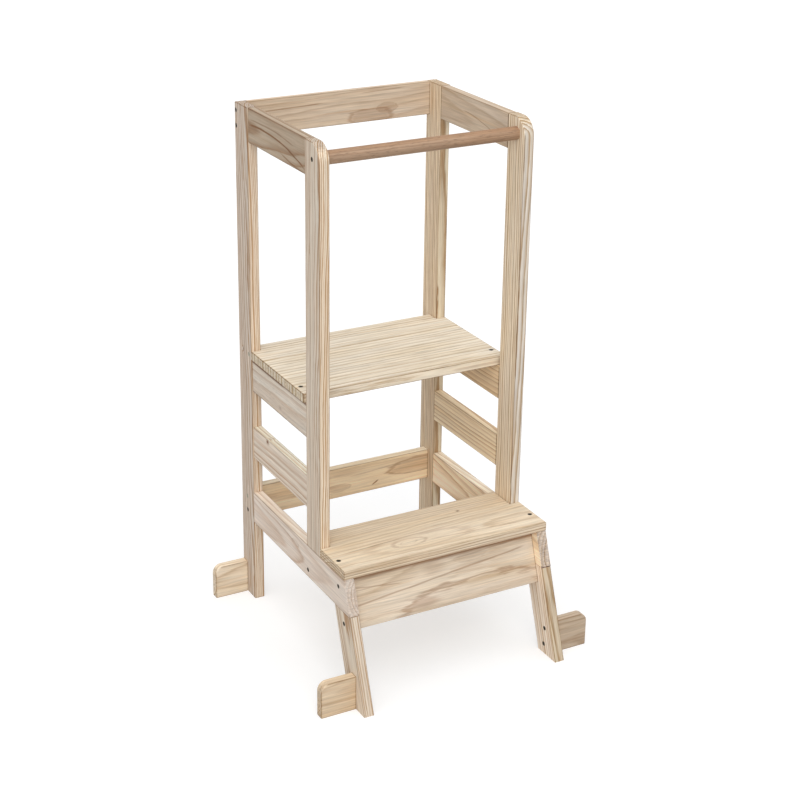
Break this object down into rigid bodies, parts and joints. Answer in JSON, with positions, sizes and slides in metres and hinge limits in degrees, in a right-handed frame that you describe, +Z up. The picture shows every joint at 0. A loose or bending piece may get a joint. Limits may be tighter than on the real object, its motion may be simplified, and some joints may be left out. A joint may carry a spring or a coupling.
{
  "type": "toddler kitchen helper stool",
  "caption": "Free-standing wooden kitchen helper tower with a standing platform between side frames, a lower step, a round hand bar and sideways feet.",
  "frame": {"origin": "on the floor at the middle of the outline", "axes": "+Z up, -Y towards the step where the child climbs in, +X to the right seen from the step"},
  "size_m": [0.504, 0.4738, 0.9],
  "materials": {
    "pine": "raw sanded",
    "hand_bar_wood": "raw sanded",
    "beech_pins": "raw",
    "wood_filler": "dried paste, sanded flush",
    "black_screws": "black"
  },
  "bodies": {
    "root": {"rear_post_left": "pine", "rear_post_right": "pine", "front_post_left": "pine", "front_post_right": "pine", "top_side_rail_left": "pine", "top_side_rail_right": "pine", "upper_side_rail_left": "pine", "upper_side_rail_right": "pine", "middle_side_rail_left": "pine", "middle_side_rail_right": "pine", "bottom_side_rail_left": "pine", "bottom_side_rail_right": "pine", "front_leg_left": "pine", "front_leg_right": "pine", "foot_rear_left": "pine", "foot_rear_right": "pine", "foot_front_left": "pine", "foot_front_right": "pine", "top_back_rail": "pine", "lower_back_rail": "pine", "step_back_rail": "pine", "platform": "pine", "step_board": "pine", "step_apron": "pine", "hand_bar": "hand_bar_wood", "hand_bar_screws": "black_screws", "top_back_rail_screws": "black_screws", "lower_back_rail_screws": "black_screws", "step_back_rail_screws": "black_screws", "apron_screws": "black_screws", "foot_screws": "black_screws", "platform_screws": "black_screws", "platform_side_screws": "black_screws", "step_screws": "black_screws", "rail_dowel_pins": "beech_pins", "leg_dowel_pins": "beech_pins", "hole_fillers": "wood_filler"}
  },
  "joints": []
}
